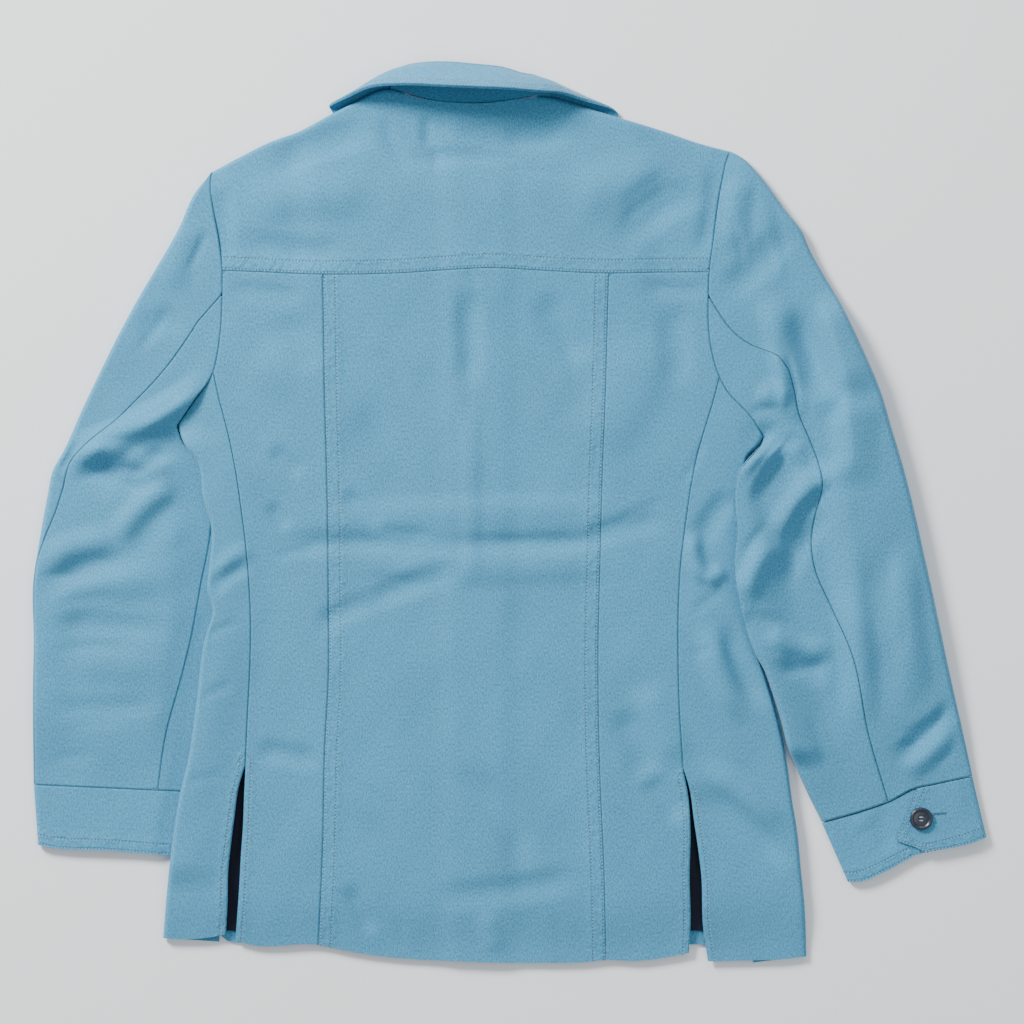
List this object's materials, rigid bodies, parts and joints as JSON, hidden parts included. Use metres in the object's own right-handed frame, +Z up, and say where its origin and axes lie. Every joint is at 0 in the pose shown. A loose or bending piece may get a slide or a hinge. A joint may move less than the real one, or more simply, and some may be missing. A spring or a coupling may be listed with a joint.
{
  "type": "leisure suit jacket",
  "caption": "Leisure suit jacket laid flat face down, with a back yoke, princess seams, side-back vents, two-piece sleeves, a buttoned cuff and a turned-down collar.",
  "frame": {"origin": "centre of the bounding box's bottom face, on the surface that the jacket lies on", "axes": "+X across the back towards the wearer's right sleeve, +Y up the back towards the collar, +Z up from the surface, out of the back"},
  "size_m": [0.8412, 0.7947, 0.0447],
  "materials": {
    "gabardine_blue": "matt woven twill with a faint heather",
    "gabardine_under_collar": "matt woven twill, darker underside of the collar",
    "lining_navy": "smooth lining with a low sheen",
    "button_navy": "semi-gloss with a raised rim"
  },
  "bodies": {
    "root": {"back_yoke": "gabardine_blue", "back_centre": "gabardine_blue", "back_side_left": "gabardine_blue", "back_side_right": "gabardine_blue", "side_panel_left": "gabardine_blue", "side_panel_right": "gabardine_blue", "front_left": "gabardine_blue", "front_right": "gabardine_blue", "sleeve_upper_left": "gabardine_blue", "sleeve_upper_right": "gabardine_blue", "sleeve_under_left": "gabardine_blue", "sleeve_under_right": "gabardine_blue", "cuff_left": "gabardine_blue", "cuff_right": "gabardine_blue", "upper_collar": "gabardine_blue", "under_collar": "gabardine_under_collar", "vent_lining_left": "lining_navy", "vent_lining_right": "lining_navy", "cuff_button_right": "button_navy"}
  },
  "joints": []
}
